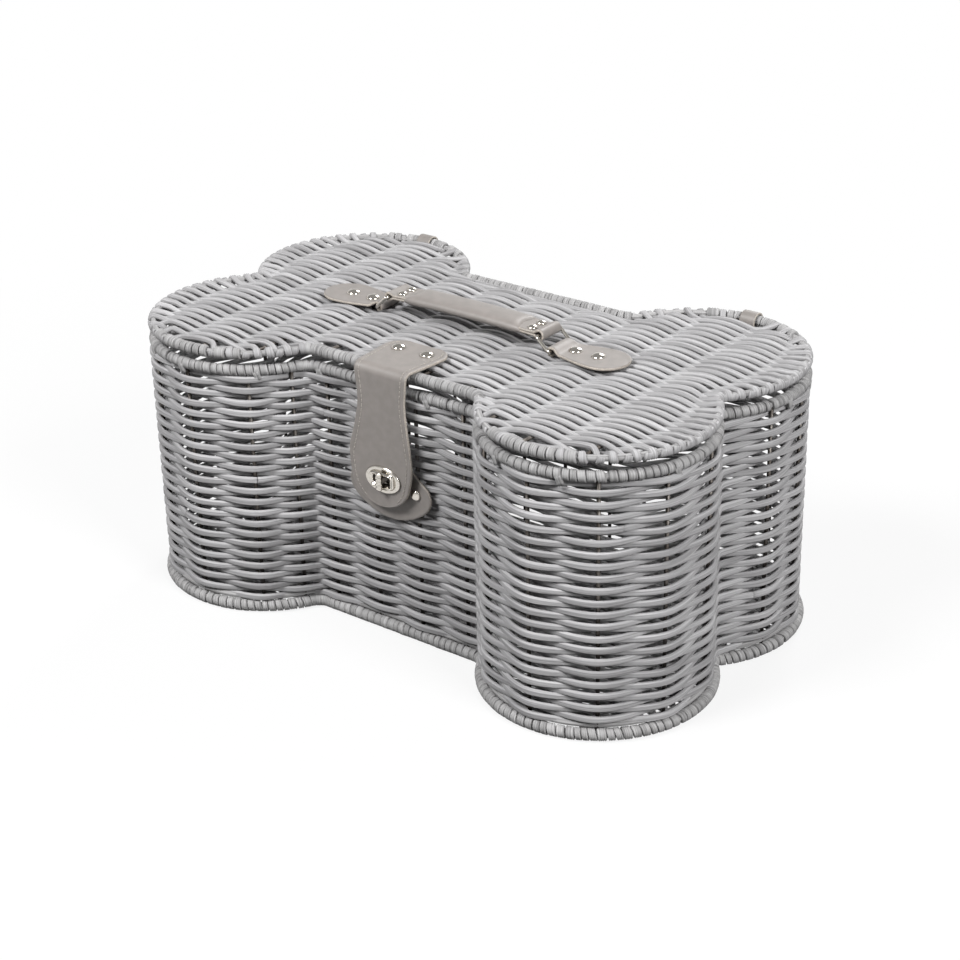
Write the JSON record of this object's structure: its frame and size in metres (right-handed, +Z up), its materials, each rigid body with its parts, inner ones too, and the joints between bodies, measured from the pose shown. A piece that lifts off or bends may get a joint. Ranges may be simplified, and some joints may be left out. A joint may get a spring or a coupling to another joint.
{
  "type": "lidded wicker storage basket",
  "caption": "Bone-shaped lidded basket woven from grey synthetic strand on a wire frame, with leather hinges, a leather carrying handle and a strap with a turn lock, for storing pet toys.",
  "frame": {"origin": "middle of the base, on the surface that the basket stands on", "axes": "+X along the length, -Y towards the clasp at the front, +Z up"},
  "size_m": [0.4124, 0.2502, 0.1981],
  "materials": {
    "grey_strand": "extruded round synthetic rattan strand, fine lengthwise streaks, satin",
    "taupe_leather": "smooth faux leather with a fine grain, stitched edges",
    "nickel": "bright nickel plate",
    "frame_steel": "drawn steel wire, dull grey"
  },
  "bodies": {
    "basket": {"body_frame": "frame_steel", "floor_weave": "grey_strand", "wall_weave": "grey_strand", "bottom_wrap": "grey_strand", "top_wrap": "grey_strand", "hinge_loop_left": "taupe_leather", "hinge_loop_right": "taupe_leather", "clasp_patch": "taupe_leather", "patch_rivet_left": "nickel", "patch_rivet_right": "nickel", "lock_base": "nickel"},
    "lid": {"lid_frame": "frame_steel", "lid_weave": "grey_strand", "lid_wrap": "grey_strand", "handle_tab_left": "taupe_leather", "handle_tab_right": "taupe_leather", "tab_rivet_left_1": "nickel", "tab_rivet_left_2": "nickel", "tab_rivet_right_1": "nickel", "tab_rivet_right_2": "nickel", "clasp_strap_top": "taupe_leather", "strap_rivet_left": "nickel", "strap_rivet_right": "nickel"},
    "strap": {"clasp_strap_flap": "taupe_leather", "lock_plate": "nickel", "lock_plate_back": "nickel"},
    "knob": {"lock_knob": "nickel"},
    "ring_left": {"ring_left": "nickel"},
    "handle": {"handle_strap": "taupe_leather", "handle_grip": "taupe_leather", "handle_rivet_1": "nickel", "handle_rivet_2": "nickel", "handle_rivet_3": "nickel", "handle_rivet_4": "nickel"},
    "ring_right": {"ring_right": "nickel"}
  },
  "joints": [
    {"name": "lid_hinge", "type": "hinge", "parent": "basket", "child": "lid", "pos_m": [0, 0.11897, 0.1782], "axis": [-1, 0, 0], "range_deg": [0, 110]},
    {"name": "strap_swing", "type": "hinge", "parent": "lid", "child": "strap", "pos_m": [0, -0.08836, 0.18415], "axis": [-1, 0, 0], "range_deg": [0, 130]},
    {"name": "knob_turn", "type": "hinge", "parent": "basket", "child": "knob", "pos_m": [0, -0.0935, 0.11215], "axis": [0, 1, 0], "range_deg": [0, 90]},
    {"name": "ring_left_sway", "type": "hinge", "parent": "lid", "child": "ring_left", "pos_m": [-0.06799, 0, 0.18445], "axis": [0, 1, 0], "range_deg": [-12, 12]},
    {"name": "handle_pivot", "type": "hinge", "parent": "ring_left", "child": "handle", "pos_m": [-0.059, 0, 0.19313], "axis": [0, 1, 0], "range_deg": [-15, 15]},
    {"name": "ring_right_sway", "type": "hinge", "parent": "lid", "child": "ring_right", "pos_m": [0.06799, 0, 0.18445], "axis": [0, 1, 0], "range_deg": [-13, 13]}
  ],
  "couplings": [
    {"joint": "handle_pivot", "follows": "ring_left_sway", "ratio": -1.1524},
    {"joint": "ring_right_sway", "follows": "ring_left_sway", "ratio": 1}
  ]
}
